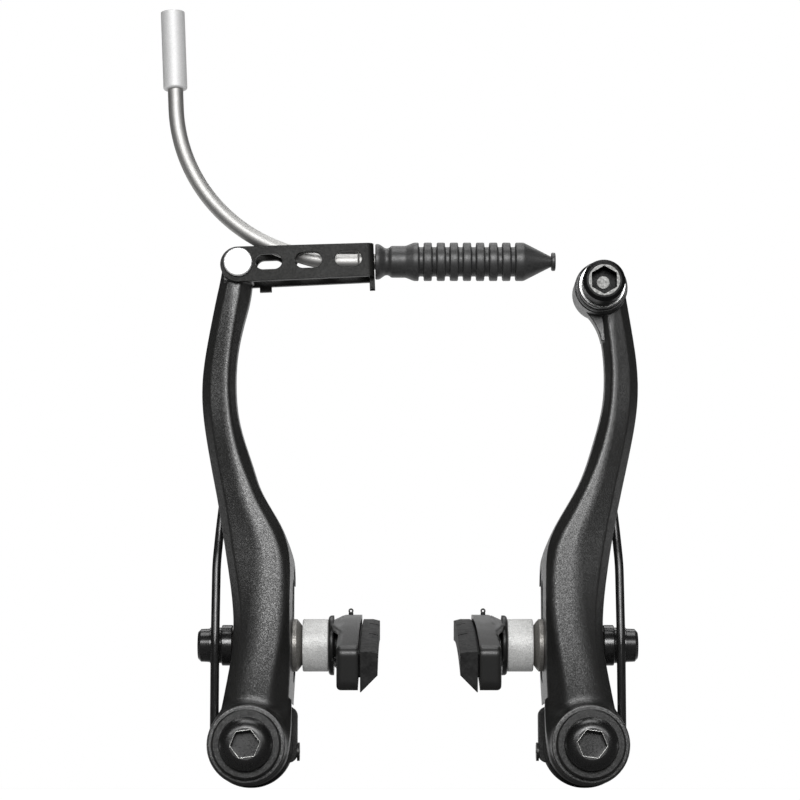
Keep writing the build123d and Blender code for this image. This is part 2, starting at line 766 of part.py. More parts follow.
# Shoe holder: a curved body with rounded ends, a round flange on ribs and the pad's channel
with BuildPart() as shoe_holder:
    with BuildSketch(shoe_plane(body_back)):
        shoe_band(holder_low, holder_high, -shoe_half, shoe_half)
    extrude(amount=holder_width)
    ends = shoe_holder.edges().filter_by(Axis.X)
    fillet(ends, holder_height / 5)
    rims = shoe_holder.faces().sort_by(Axis.X)
    fillet(rims[0].edges(), holder_width / 5)
    with BuildSketch(shoe_plane(shoe_seat)):
        Circle(holder_flange_radius)
    extrude(amount=holder_flange_thickness)
    fillet(shoe_holder.faces().sort_by(Axis.X)[0].edges(), holder_flange_round)
    with BuildSketch(shoe_plane(shoe_seat)):
        Circle(holder_neck_radius)
    extrude(amount=holder_flange_thickness + holder_neck_length)
    for rise in (shoe_rise - holder_rib_spread / 2, shoe_rise + holder_rib_spread / 2):
        rib_plane = Plane(
            origin=shoe_plane(0).from_local_coords(Vector(0, rise - holder_rib_thickness / 2, 0)),
            x_dir=shoe_plane(0).x_dir,
            z_dir=shoe_plane(0).y_dir,
        )
        with BuildSketch(rib_plane):
            with BuildLine():
                Polyline(
                    (-holder_rib_span / 2, -body_back - holder_rib_root),
                    (-holder_flange_radius * 0.55, -shoe_seat - holder_flange_thickness / 2),
                    (holder_flange_radius * 0.55, -shoe_seat - holder_flange_thickness / 2),
                    (holder_rib_span / 2, -body_back - holder_rib_root),
                    close=True,
                )
            make_face()
        extrude(amount=holder_rib_thickness)
    with BuildSketch(shoe_plane(shoe_seat)):
        Circle(stud_radius + running_gap)
    extrude(amount=stud_end - shoe_seat + running_gap, mode=Mode.SUBTRACT)
    with BuildSketch(shoe_plane(body_front)):
        shoe_band(
            shoe_rise - channel_half,
            shoe_rise + channel_half,
            channel_stop - shoe_half,
            shoe_half + play,
        )
    extrude(amount=-tenon_depth - running_gap, mode=Mode.SUBTRACT)
    pin_plane = Plane(
        origin=shoe_plane(pin_across).from_local_coords(Vector(pin_along, 0, 0)),
        x_dir=shoe_plane(0).x_dir,
        z_dir=shoe_plane(0).y_dir,
    )
    with BuildSketch(pin_plane):
        Circle(pad_pin_radius + running_gap)
    extrude(amount=holder_height, both=True, mode=Mode.SUBTRACT)
save_pair(shoe_holder, "shoe_holder")

# Rubber pad: a bevelled block along the rim with grooves, and a tenon in the holder's channel
pad_back = body_front + pad_gap
pad_half = shoe_half - play
with BuildPart() as brake_pad:
    with BuildSketch(shoe_plane(pad_back)):
        shoe_band(holder_low, holder_high - pad_top_drop, -pad_half, pad_half)
    extrude(amount=pad_thickness)
    long_edges = brake_pad.faces().sort_by(Axis.X)[-1].edges().filter_by(GeomType.CIRCLE).sort_by(Axis.Z)
    chamfer(long_edges[0], pad_bevel)
    chamfer(
        brake_pad.faces().sort_by(Axis.X)[-1].edges().filter_by(GeomType.CIRCLE).sort_by(Axis.Z)[-1],
        length=pad_shoulder_drop,
        length2=pad_shoulder_width,
    )
    for along in (-shoe_length / 5, shoe_length / 14, shoe_length / 3.2):
        with BuildSketch(shoe_plane(pad_back + pad_thickness)):
            with Locations((along, shoe_rise)):
                Rectangle(pad_groove_width, 2 * holder_height)
        extrude(amount=-pad_groove_depth, mode=Mode.SUBTRACT)
    with BuildSketch(shoe_plane(body_front - tenon_depth)):
        shoe_band(
            shoe_rise - tenon_height / 2,
            shoe_rise + tenon_height / 2,
            channel_stop + running_gap - shoe_half,
            pad_half,
        )
    extrude(amount=tenon_depth + pad_gap)
    with BuildSketch(pin_plane):
        Circle(pad_pin_radius + running_gap)
    extrude(amount=tenon_height, both=True, mode=Mode.SUBTRACT)
save_pair(brake_pad, "brake_pad")

# Wire pin that keeps the pad in its holder, with an eye on top
pin_top = holder_high - shoe_drop(pin_along) + play
pin_low = holder_low - shoe_drop(pin_along) - play
eye_middle = pin_top + pad_eye_radius
with BuildPart() as pad_pin:
    with BuildSketch(pin_plane.offset(pin_low)):
        Circle(pad_pin_radius)
    extrude(amount=pin_top - pin_low + pad_eye_wire)
    eye_plane = Plane(
        origin=pin_plane.from_local_coords(Vector(-pad_eye_wire, 0, eye_middle)),
        x_dir=(1, 0, 0),
        z_dir=pin_plane.x_dir,
    )
    with BuildSketch(eye_plane):
        Circle(pad_eye_radius)
        Circle(pad_eye_radius - 2 * pad_eye_wire, mode=Mode.SUBTRACT)
    extrude(amount=2 * pad_eye_wire)
save_pair(pad_pin, "pad_pin")

# Link: a folded sheet with two windowed plates and an end wall, tilted as it hangs
link_way = Vector(math.cos(math.radians(link_tilt)), 0, math.sin(math.radians(link_tilt)))
link_origin = Vector(-pivot_x - link_offset, -link_depth, arm_length)


def link_plane(toward):
    """Plane along the link's plates, a distance from their middle towards the viewer."""
    return Plane(origin=link_origin + Vector(0, -toward, 0), x_dir=link_way, z_dir=(0, -1, 0))


half_width = link_width / 2
half_gap = half_width - sheet_thickness
wall_inner = link_reach - sheet_thickness
noodle_local = link_plane(0).to_local_coords(Vector(link_origin.X + link_reach, 0, noodle_height)).Y


def plate_outline():
    """Draws one plate: round about the pin and tapering to the end wall."""
    with Locations((0, -link_drop)):
        Circle(link_end_radius)
    Polygon(
        (0, link_end_radius - link_drop),
        (link_reach, link_far_half - link_drop),
        (link_reach, -link_far_half - link_drop),
        (0, -link_end_radius - link_drop),
        align=None,
    )


with BuildPart() as link:
    with BuildSketch(link_plane(-half_width)):
        plate_outline()
    extrude(amount=link_width)
    fillet(link.faces().sort_by(Axis.X)[-1].edges().sort_by(Axis.Y)[0], sheet_thickness * 1.2)
    fillet(link.faces().sort_by(Axis.X)[-1].edges().sort_by(Axis.Y)[-1], sheet_thickness * 1.2)
    with BuildSketch(link_plane(-half_gap)):
        with Locations((wall_inner - link_reach, 0)):
            Rectangle(2 * link_reach, 4 * link_end_radius)
    extrude(amount=2 * half_gap, mode=Mode.SUBTRACT)
    with BuildSketch(link_plane(-half_width)):
        with Locations((window_first + window_pitch * (window_count - 1) / 2, 0)):
            with GridLocations(window_pitch, 1, window_count, 1):
                SlotOverall(window_length, window_height)
        Circle(link_pin_radius + running_gap)
    extrude(amount=link_width, mode=Mode.SUBTRACT)
    with BuildSketch(link_plane(-half_width)):
        with Locations((link_tab_start + link_tab_width / 2, -link_far_half - link_drop)):
            Rectangle(link_tab_width, 2 * link_tab_drop)
    extrude(amount=sheet_thickness)
    with BuildSketch(link_plane(-link_hook_width / 2)):
        with Locations((link_reach - sheet_thickness / 2, -link_far_half - link_drop)):
            Rectangle(sheet_thickness, 2 * link_hook_drop)
    extrude(amount=link_hook_width)
    wall_plane = Plane(origin=link_plane(0).from_local_coords(Vector(link_reach, noodle_local, 0)),
                       x_dir=(0, -1, 0), z_dir=link_way)
    with BuildSketch(wall_plane):
        Circle(tube_radius + 2 * running_gap)
        with Locations((0, link_end_radius)):
            Rectangle(3 * cable_radius, 2 * link_end_radius)
    extrude(amount=-2 * sheet_thickness, mode=Mode.SUBTRACT)
save(link, "link")

# Link pin, riveted over at the back
with BuildPart() as link_pin:
    with BuildSketch(link_plane(-half_width - link_head_height / 2)):
        Circle(link_pin_radius)
    extrude(amount=link_width + link_head_height)
    with BuildSketch(link_plane(half_width)):
        Circle(link_head_radius)
    extrude(amount=link_head_height)
    fillet(link_pin.edges().filter_by(GeomType.CIRCLE).sort_by(Axis.Y)[0], link_head_height / 3)
    with BuildSketch(link_plane(-half_width)):
        Circle((link_pin_radius + link_head_radius) / 2)
    extrude(amount=-link_head_height / 2)
save(link_pin, "link_pin")

# Noodle: a bent tube on a path of straight runs and tangent arcs
wall_x = link_origin.X + link_reach * link_way.X
nose_end = wall_x + nose_length
set_x = nose_end - noodle_set_reach
rise_angle = math.radians(noodle_set_angle)
lean = math.radians(noodle_lean)
elbow = (set_x - noodle_run, noodle_height + noodle_run * math.tan(rise_angle))
tube_top = (elbow[0] - (noodle_rise - elbow[1] + noodle_height) * math.tan(lean), noodle_height + noodle_rise)
noodle_front = Plane(origin=(0, -link_depth, 0), x_dir=(1, 0, 0), z_dir=(0, -1, 0))
noodle_points = [tube_top, elbow, (set_x, noodle_height), (nose_end, noodle_height)]
tube_way = Vector(-math.sin(lean), 0, math.cos(lean))


def swept_tube(outer, bore):
    """Sweeps a tube along the noodle's line."""
    with BuildPart() as tube:
        with BuildLine(noodle_front) as path:
            FilletPolyline(*noodle_points, radius=[noodle_bend_radius, noodle_set_radius])
        with BuildSketch(Plane(origin=path.line @ 0, z_dir=path.line % 0)):
            Circle(outer)
            Circle(bore, mode=Mode.SUBTRACT)
        sweep(path=path.wires()[0])
    return tube


save(swept_tube(tube_radius, tube_bore_radius), "noodle_tube")
save(swept_tube(tube_bore_radius - running_gap, liner_bore_radius), "noodle_liner")

# Ferrule on the upper end, with the socket for the cable housing
tube_grip = ferrule_length - housing_depth
ferrule_base = Vector(tube_top[0], -link_depth, tube_top[1]) - tube_way * (tube_grip - play)
ferrule_plane = Plane(origin=ferrule_base, x_dir=(0, 1, 0), z_dir=tube_way)
with BuildPart() as noodle_ferrule:
    with BuildSketch(ferrule_plane):
        Circle(ferrule_radius)
        Circle(tube_radius + running_gap, mode=Mode.SUBTRACT)
    extrude(amount=ferrule_length)
    with BuildSketch(ferrule_plane.offset(ferrule_length)):
        Circle(housing_bore_radius)
    extrude(amount=-housing_depth, mode=Mode.SUBTRACT)
    lower_edges = noodle_ferrule.edges().filter_by(GeomType.CIRCLE).sort_by(Axis.Z)[:2]
    fillet(lower_edges.sort_by(SortBy.RADIUS)[-1], ferrule_round)
save(noodle_ferrule, "noodle_ferrule")

# Collar on the nose that stops it against the link's end wall
collar_end = wall_x - sheet_thickness - running_gap * 2
collar_plane = Plane(origin=(collar_end, -link_depth, noodle_height), x_dir=(0, -1, 0), z_dir=(-1, 0, 0))
with BuildPart() as noodle_collar:
    with BuildSketch(collar_plane):
        Circle(collar_radius)
        Circle(tube_radius + running_gap, mode=Mode.SUBTRACT)
    extrude(amount=collar_length)
    chamfer(noodle_collar.faces().sort_by(Axis.X)[0].edges().sort_by(SortBy.RADIUS)[-1], collar_bevel)
save(noodle_collar, "noodle_collar")

# Boot: a turned bellows over the nose, with ribs, an end cone and a small rim
boot_start = wall_x + boot_gap
boot_plane = Plane(origin=(boot_start, -link_depth, noodle_height), x_dir=(1, 0, 0), z_dir=(0, -1, 0))
boot_axis = Axis((boot_start, -link_depth, noodle_height), (1, 0, 0))
rib_end = boot_first_groove + boot_grooves * boot_rib_pitch
nose_room = nose_length - boot_gap + play
cone_end = boot_length - boot_rim_length
with BuildPart() as boot:
    with BuildSketch(boot_plane):
        with BuildLine():
            Polyline(
                (0, boot_bore_radius),
                (0, boot_lip_radius - boot_lip_round),
                (boot_lip_length / 2, boot_lip_radius),
                (boot_lip_length, boot_lip_radius - boot_lip_round / 2),
                (boot_neck_start, boot_neck_radius),
                (boot_neck_end, boot_neck_radius),
                (boot_sleeve_start, boot_sleeve_radius),
                (boot_sleeve_end, boot_sleeve_radius),
                (boot_rib_start, boot_rib_radius),
                (rib_end, boot_rib_radius),
                (cone_end, boot_tip_radius),
                (cone_end, boot_rim_radius),
                (boot_length, boot_rim_radius),
                (boot_length, boot_bore_radius),
                close=True,
            )
        make_face()
        with GridLocations(boot_rib_pitch, 1, boot_grooves, 1, align=(Align.MIN, Align.CENTER)):
            with Locations((boot_first_groove, boot_groove_radius)):
                Rectangle(
                    boot_groove_width,
                    boot_rib_radius,
                    align=(Align.MIN, Align.MIN),
                    mode=Mode.SUBTRACT,
                )
        with Locations((0, boot_bore_radius)):
            Rectangle(
                nose_room,
                tube_radius + running_gap - boot_bore_radius,
                align=(Align.MIN, Align.MIN),
                mode=Mode.SUBTRACT,
            )
    revolve(axis=boot_axis)
save(boot, "boot")

# Cable clamp on the right arm: a grooved plate, a washer and a cap bolt
clamp_washer_seat = clamp_front + clamp_plate_thickness
cable_head_seat = clamp_washer_seat + clamp_washer_thickness


def clamp_plane(depth):
    """Plane square to the cable bolt, on the mirrored side."""
    return front(depth, -clamp_offset, clamp_height)


with BuildPart() as cable_plate_mirrored:
    with BuildSketch(clamp_plane(clamp_front)):
        Circle(clamp_plate_radius)
        Circle(cable_bolt_radius + running_gap, mode=Mode.SUBTRACT)
    extrude(amount=clamp_plate_thickness)
    beside_bolt = Vector(0, cable_bolt_radius + cable_radius, 0)
    groove_plane = Plane(
        origin=clamp_plane(clamp_washer_seat).from_local_coords(beside_bolt),
        x_dir=(0, -1, 0),
        z_dir=(1, 0, 0),
    )
    with BuildSketch(groove_plane):
        Circle(cable_radius)
    extrude(amount=2 * clamp_plate_radius, both=True, mode=Mode.SUBTRACT)
with BuildPart() as cable_washer_mirrored:
    with BuildSketch(clamp_plane(clamp_washer_seat)):
        Circle(clamp_washer_radius)
        Circle(cable_bolt_radius + running_gap, mode=Mode.SUBTRACT)
    extrude(amount=clamp_washer_thickness)
    washer_edges = cable_washer_mirrored.edges().filter_by(GeomType.CIRCLE)
    chamfer(washer_edges.sort_by(SortBy.RADIUS)[-2:], clamp_washer_bevel)
with BuildPart() as cable_bolt_mirrored:
    with BuildSketch(clamp_plane(cable_head_seat)):
        Circle(cable_head_radius)
    extrude(amount=cable_head_height)
    chamfer(cable_bolt_mirrored.edges().filter_by(GeomType.CIRCLE).sort_by(Axis.Y)[0], cable_head_bevel)
    with BuildSketch(clamp_plane(cable_head_seat)):
        Circle(cable_bolt_radius)
    extrude(amount=-cable_bolt_length)
    with BuildSketch(clamp_plane(cable_head_seat + cable_head_height)):
        RegularPolygon(cable_hex_width / 2, 6, major_radius=False, rotation=30)
    extrude(amount=-cable_hex_depth, mode=Mode.SUBTRACT)
for mirrored, name in (
    (cable_plate_mirrored, "cable_plate"),
    (cable_washer_mirrored, "cable_washer"),
    (cable_bolt_mirrored, "cable_bolt"),
):
    with BuildPart() as right_piece:
        mirror(mirrored.part, about=Plane.YZ)
    save(right_piece, name)
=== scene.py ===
"""Looks for a pair of linear-pull brake arms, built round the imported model."""

import logging
import math
from dataclasses import dataclass, field
from enum import Enum
from functools import cache
from typing import Iterable, Sequence

import bmesh
import bpy
from mathutils import Matrix, Vector


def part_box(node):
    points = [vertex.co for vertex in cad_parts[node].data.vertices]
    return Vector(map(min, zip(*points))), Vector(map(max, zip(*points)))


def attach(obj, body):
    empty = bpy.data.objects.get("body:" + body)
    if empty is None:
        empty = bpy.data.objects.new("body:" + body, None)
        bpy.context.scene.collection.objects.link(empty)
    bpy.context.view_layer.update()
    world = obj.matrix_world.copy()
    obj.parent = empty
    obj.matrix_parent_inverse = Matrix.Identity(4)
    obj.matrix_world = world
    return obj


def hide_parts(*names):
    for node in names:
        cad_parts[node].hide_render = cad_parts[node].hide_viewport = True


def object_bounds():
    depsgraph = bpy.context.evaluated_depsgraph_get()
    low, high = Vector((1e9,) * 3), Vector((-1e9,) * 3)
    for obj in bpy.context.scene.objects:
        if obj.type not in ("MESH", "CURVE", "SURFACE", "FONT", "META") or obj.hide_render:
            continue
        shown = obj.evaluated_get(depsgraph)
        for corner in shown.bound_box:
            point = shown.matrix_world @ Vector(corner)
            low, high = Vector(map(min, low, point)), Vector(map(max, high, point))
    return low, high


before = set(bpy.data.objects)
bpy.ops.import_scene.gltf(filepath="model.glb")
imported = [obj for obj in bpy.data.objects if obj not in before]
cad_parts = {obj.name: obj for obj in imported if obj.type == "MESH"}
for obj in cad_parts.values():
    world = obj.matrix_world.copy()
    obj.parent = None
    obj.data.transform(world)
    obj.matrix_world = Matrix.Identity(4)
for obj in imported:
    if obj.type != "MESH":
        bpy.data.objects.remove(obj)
CAD_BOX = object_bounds()

LOG = logging.getLogger("brake")
MM = 0.001
Output = bpy.types.NodeSocket
Triple = tuple[float, float, float]
Span = tuple[float, float]
Profile = Sequence[Span]

# Meshes: faces round a circle, how edges are told apart, and how corners are rounded.
FULL_TURN = 2 * math.pi
TURN_STEPS = 72
CIRCLE_STEPS = 48
HEX_SIDES = 6
CORNER_ANGLE = 0.3
SHARP_ANGLE = 0.6
SAME_PLACE = 1e-7
BEVEL_STEPS = 3

# Finishes: where most of a noise lies, its detail, and the sockets of a colour mix.
NOISE_BAND = (0.3, 0.7)
CLOUD_DETAIL = 4.0
MOULD_DETAIL = 2.0
MOTTLE_DETAIL = 6.0
GRAIN_ROUGHNESS = 0.65
COAT_ROUGHNESS = 0.12
WEAR_BAND = (0.97, 0.8)
CELL_MEAN = (0.5, 0.5, 0.5)
MIX_SHARE, MIX_FIRST, MIX_SECOND, MIX_RESULT = 0, 6, 7, 2


class Grain(Enum):
    """How a finish breaks up across its surface."""

    FLECK = "fleck"
    MOULD = "mould"
    MOTTLE = "mottle"


class Side(Enum):
    """The two halves of the brake, by the sign of x."""

    LEFT = -1
    RIGHT = 1

    def node(self, piece_name: str) -> str:
        """Name of this side's copy of a piece."""
        return f"{self.name.lower()}_{piece_name}"


class Wiring:
    """Short-hand for adding and linking the nodes of one tree."""

    def __init__(self, tree: bpy.types.NodeTree) -> None:
        """Takes a tree to wire."""
        self.tree = tree

    def feed(self, socket: bpy.types.NodeSocket, value: object) -> None:
        """Links an input to an output, or sets its value.

        Args:
            socket: the input.
            value: an output, or the input's own value.
        """
        if isinstance(value, bpy.types.NodeSocket):
            self.tree.links.new(value, socket)
        else:
            socket.default_value = value

    def add(self, kind: str, *inputs: object, **values: object) -> bpy.types.Node:
        """Adds a node and sets its properties and inputs.

        Args:
            kind: the node's type name.
            inputs: values or outputs for the node's first inputs, in order.
            values: property values, or input values and outputs by socket name
                with spaces written as underscores.

        Returns:
            The new node.
        """
        node = self.tree.nodes.new(kind)
        for key, value in values.items():
            if hasattr(node, key):
                setattr(node, key, value)
            else:
                self.feed(node.inputs[key.replace("_", " ")], value)
        for socket, value in zip(node.inputs, inputs):
            self.feed(socket, value)
        return node

    def math(self, operation: str, *numbers: object, clamp: bool = False) -> Output:
        """Adds one sum.

        Args:
            operation: the sum's name.
            numbers: its numbers or outputs, in order.
            clamp: whether the result is kept between 0 and 1.

        Returns:
            The result's output.
        """
        return self.add(
            "ShaderNodeMath", *numbers, operation=operation, use_clamp=clamp
        ).outputs[0]

    def vector(self, operation: str, *inputs: object, **values: object) -> bpy.types.Node:
        """Adds one vector sum.

        Args:
            operation: the sum's name.
            inputs: its vectors or outputs, in order.
            values: its other inputs by name.

        Returns:
            The new node.
        """
        return self.add("ShaderNodeVectorMath", *inputs, operation=operation, **values)

    def total(self, first: Output, *others: Output) -> Output:
        """Adds outputs up, to 1 at most.

        Args:
            first: an output.
            others: what is added to it.

        Returns:
            Their sum.
        """
        for other in others:
            first = self.math("ADD", first, other, clamp=True)
        return first

    def product(self, first: Output, *others: Output) -> Output:
        """Multiplies outputs with each other.

        Args:
            first: an output.
            others: what it is multiplied by.

        Returns:
            Their product.
        """
        for other in others:
            first = self.math("MULTIPLY", first, other)
        return first

    def mapped(
        self, source: Output, ends: Span, onto: Span = (0.0, 1.0), soft: bool = False
    ) -> Output:
        """Maps a span of values onto another and stays within it.

        Args:
            source: the output to map.
            ends: the source's values at the new span's ends.
            onto: the new span.
            soft: whether the way between the ends is eased.

        Returns:
            The mapped output.
        """
        return self.add(
            "ShaderNodeMapRange",
            interpolation_type="SMOOTHSTEP" if soft else "LINEAR",
            Value=source,
            From_Min=ends[0],
            From_Max=ends[1],
            To_Min=onto[0],
            To_Max=onto[1],
        ).outputs["Result"]


class Shader(Wiring):
    """Wiring of a new material round its main shader."""

    def __init__(self, name: str) -> None:
        """Makes the material.

        Args:
            name: the material's name.
        """
        self.material = bpy.data.materials.new(name)
        self.material.use_nodes = True
        super().__init__(self.material.node_tree)
        self.main = self.tree.nodes["Principled BSDF"]
        self.coords = self.add("ShaderNodeTexCoord").outputs["Object"]

    def set(self, **values: object) -> None:
        """Sets or links inputs of the main shader.

        Args:
            values: values or outputs by socket name with spaces written as
                underscores.
        """
        for key, value in values.items():
            self.feed(self.main.inputs[key.replace("_", " ")], value)


@dataclass(frozen=True)
class PivotHollow:
    """Where an arm's bar runs softly into its foot, in millimetres.

    The spans are distances from the pivot, from no softening to all of it.
    """

    pivot: float = 40.0
    ring: Span = (9.3, 9.9)
    bar: Span = (16.0, 12.0)
    radius: float = 2.2

    def reach(self, nodes: Shader, edge_mm: float) -> Output:
        """Widens an edge's rounding between the foot's ring and the bar.

        Args:
            nodes: the material being wired.
            edge_mm: the rounding elsewhere.

        Returns:
            The rounding's radius, in metres.
        """
        place = nodes.add("ShaderNodeSeparateXYZ", nodes.coords).outputs
        beside = nodes.math("ABSOLUTE", place["X"])
        beside = nodes.math("SUBTRACT", beside, self.pivot * MM)
        flat = nodes.add("ShaderNodeCombineXYZ", beside, place["Z"]).outputs[0]
        away = nodes.vector("LENGTH", flat).outputs["Value"]
        shares = [
            nodes.mapped(away, (none * MM, full * MM), soft=True)
            for none, full in (self.ring, self.bar)
        ]
        wide = nodes.math("MULTIPLY", nodes.product(*shares), self.radius * MM)
        return nodes.math("ADD", wide, edge_mm * MM)


@dataclass(frozen=True)
class Finish:
    """A surface finish, as a maker would order it.

    Lengths are in millimetres, colours are linear.
    """

    name: str
    deep: Triple
    light: Triple
    grain: Grain
    grain_mm: float
    roughness: float
    rough_spread: float = 0.08
    metallic: float = 0.0
    specular: float = 0.5
    coat: float = 0.0
    bump_mm: float = 0.004
    tilt: float = 0.0
    cloud_mm: float = 7.0
    cloud_share: float = 0.35
    stretch: Triple = (1.0, 1.0, 1.0)
    edge_mm: float = 0.2
    edge_samples: int = 6
    hollow: PivotHollow | None = None
    wear: float = 0.0
    bare: Triple = (0.3, 0.3, 0.29)

    @cache
    def material(self) -> bpy.types.Material:
        """Builds the finish's material.

        Returns:
            The material, made once for each finish.
        """
        nodes = Shader(self.name)
        grain = self._grain(nodes)
        cloud = nodes.add(
            "ShaderNodeTexNoise",
            Vector=nodes.coords,
            Scale=1.0 / (self.cloud_mm * MM),
            Detail=CLOUD_DETAIL,
        ).outputs["Fac"]
        half = self.cloud_share / 2
        share = nodes.total(grain, nodes.mapped(cloud, NOISE_BAND, (-half, half)))
        ramp = nodes.add("ShaderNodeValToRGB", share)
        for stop, colour in zip(ramp.color_ramp.elements, (self.deep, self.light)):
            stop.color = (*colour, 1.0)
        rounded = self._rounded(nodes)
        normal = nodes.add(
            "ShaderNodeBump",
            Height=grain,
            Distance=self.bump_mm * MM,
            Strength=1.0,
            Normal=rounded,
        ).outputs["Normal"]
        rough_ends = (
            self.roughness + self.rough_spread, self.roughness - self.rough_spread
        )
        nodes.set(
            Base_Color=self._worn(nodes, ramp.outputs["Color"], rounded),
            Roughness=nodes.mapped(share, (0.0, 1.0), rough_ends),
            Normal=self._tilted(nodes, normal) if self.tilt else normal,
            Metallic=self.metallic,
            Specular_IOR_Level=self.specular,
            Coat_Weight=self.coat,
            Coat_Roughness=COAT_ROUGHNESS,
        )
        return nodes.material

    def _grain(self, nodes: Shader) -> Output:
        """Adds the finish's finest pattern.

        Args:
            nodes: the material being wired.

        Returns:
            An output from 0 to 1.
        """
        place = nodes.add("ShaderNodeMapping", Vector=nodes.coords, Scale=self.stretch)
        scale = 1.0 / (self.grain_mm * MM)
        if self.grain is Grain.FLECK:
            cells = nodes.add(
                "ShaderNodeTexVoronoi", Vector=place.outputs[0], Scale=scale
            ).outputs["Color"]
            return nodes.add("ShaderNodeSeparateColor", cells).outputs["Red"]
        noise = nodes.add(
            "ShaderNodeTexNoise",
            Vector=place.outputs[0],
            Scale=scale,
            Detail=MOTTLE_DETAIL if self.grain is Grain.MOTTLE else MOULD_DETAIL,
            Roughness=GRAIN_ROUGHNESS,
        )
        return nodes.mapped(noise.outputs["Fac"], NOISE_BAND)

    def _rounded(self, nodes: Shader) -> Output:
        """Softens the edges of the surface.

        Args:
            nodes: the material being wired.

        Returns:
            The normal with its edges softened.
        """
        if not self.edge_mm:
            return nodes.add("ShaderNodeNewGeometry").outputs["Normal"]
        reach: object = self.edge_mm * MM
        if self.hollow is not None:
            reach = self.hollow.reach(nodes, self.edge_mm)
        bevel = nodes.add("ShaderNodeBevel", samples=self.edge_samples, Radius=reach)
        return bevel.outputs[0]

    def _worn(self, nodes: Shader, paint: Output, rounded: Output) -> Output:
        """Rubs the finish thin along sharp edges.

        Args:
            nodes: the material being wired.
            paint: the colour of the whole finish.
            rounded: the normal with its edges softened.

        Returns:
            The colour with its worn edges.
        """
        if not self.wear:
            return paint
        surface = nodes.add("ShaderNodeNewGeometry").outputs["Normal"]
        facing = nodes.vector("DOT_PRODUCT", surface, rounded).outputs["Value"]
        mix = nodes.add("ShaderNodeMix", data_type="RGBA")
        for socket, value in (
            (MIX_SHARE, nodes.mapped(facing, WEAR_BAND, (0.0, self.wear))),
            (MIX_FIRST, paint),
            (MIX_SECOND, (*self.bare, 1.0)),
        ):
            nodes.feed(mix.inputs[socket], value)
        return mix.outputs[MIX_RESULT]

    def _tilted(self, nodes: Shader, normal: Output) -> Output:
        """Leans each flake of the grain its own way, so that it glints.

        Args:
            nodes: the material being wired.
            normal: the surface normal to lean.

        Returns:
            The leaning normal's output.
        """
        cells = nodes.add(
            "ShaderNodeTexVoronoi",
            Vector=nodes.coords,
            Scale=1.0 / (self.grain_mm * MM),
        ).outputs["Color"]
        centred = nodes.vector("SUBTRACT", cells, CELL_MEAN).outputs[0]
        scaled = nodes.vector("SCALE", centred, Scale=self.tilt).outputs[0]
        leaned = nodes.vector("ADD", normal, scaled).outputs[0]
        return nodes.vector("NORMALIZE", leaned).outputs[0]


ARM_PAINT = Finish(
    "arm_flake_paint", (0.005, 0.005, 0.0048), (0.02, 0.02, 0.0193),
    Grain.FLECK, grain_mm=0.13, roughness=0.36, metallic=0.2, specular=0.9, tilt=0.2,
    bump_mm=0.0, cloud_share=0.1, edge_mm=0.6, edge_samples=12, hollow=PivotHollow(),
)
BOLT_BLACK = Finish(
    "bolt_satin_black", (0.003, 0.003, 0.003), (0.007, 0.007, 0.007),
    Grain.MOULD, grain_mm=0.5, roughness=0.3, specular=0.7, bump_mm=0.001,
    cloud_share=0.6,
)
RING_GREY = Finish(
    "ring_dark_grey", (0.006, 0.006, 0.0058), (0.018, 0.018, 0.0175),
    Grain.FLECK, grain_mm=0.16, roughness=0.42, metallic=0.2, tilt=0.15, bump_mm=0.0,
)
HOLDER_PLASTIC = Finish(
    "spring_holder_plastic", (0.006, 0.006, 0.006), (0.024, 0.024, 0.023),
    Grain.MOULD, grain_mm=0.4, roughness=0.55, bump_mm=0.03, specular=0.25,
)
SLEEVE_PLASTIC = Finish(
    "bearing_sleeve", (0.2, 0.18, 0.15), (0.34, 0.31, 0.26),
    Grain.MOULD, grain_mm=0.4, roughness=0.45, bump_mm=0.003,
)
SPRING_BLACK = Finish(
    "spring_gloss_black", (0.004, 0.004, 0.004), (0.012, 0.012, 0.012),
    Grain.MOULD, grain_mm=0.6, roughness=0.2, bump_mm=0.0, stretch=(1.0, 1.0, 0.2),
    edge_mm=0.0,
)
CAP_PLASTIC = Finish(
    "spring_cap_plastic", (0.008, 0.008, 0.008), (0.024, 0.024, 0.024),
    Grain.MOULD, grain_mm=0.3, roughness=0.45, bump_mm=0.006,
)
DOME_STEEL = Finish(
    "dome_warm_steel", (0.19, 0.183, 0.17), (0.33, 0.318, 0.3),
    Grain.FLECK, grain_mm=0.15, roughness=0.46, metallic=0.7, tilt=0.15, bump_mm=0.0,
)
SPACER_SILVER = Finish(
    "spacer_bead_blasted", (0.4, 0.4, 0.392), (0.68, 0.68, 0.67),
    Grain.FLECK, grain_mm=0.14, roughness=0.55, metallic=0.3, tilt=0.3, bump_mm=0.0,
    cloud_share=0.15,
)
HARDWARE_BLACK = Finish(
    "hardware_gloss_black", (0.004, 0.004, 0.004), (0.012, 0.012, 0.012),
    Grain.MOULD, grain_mm=0.6, roughness=0.24, coat=0.2, bump_mm=0.0005,
)
STUD_STEEL = Finish(
    "stud_plain_steel", (0.16, 0.16, 0.155), (0.32, 0.32, 0.31),
    Grain.MOULD, grain_mm=0.25, roughness=0.36, metallic=1.0, bump_mm=0.002,
)
SHOE_GREY = Finish(
    "shoe_dark_grey", (0.005, 0.005, 0.0048), (0.011, 0.011, 0.0105),
    Grain.MOULD, grain_mm=0.25, roughness=0.36, bump_mm=0.002, edge_mm=1.2,
    edge_samples=12, wear=0.02,
)
PAD_RUBBER = Finish(
    "pad_moulded_rubber", (0.003, 0.003, 0.003), (0.016, 0.016, 0.016),
    Grain.MOTTLE, grain_mm=1.4, roughness=0.55, bump_mm=0.05, specular=0.2,
    cloud_mm=3.0, edge_mm=0.3,
)
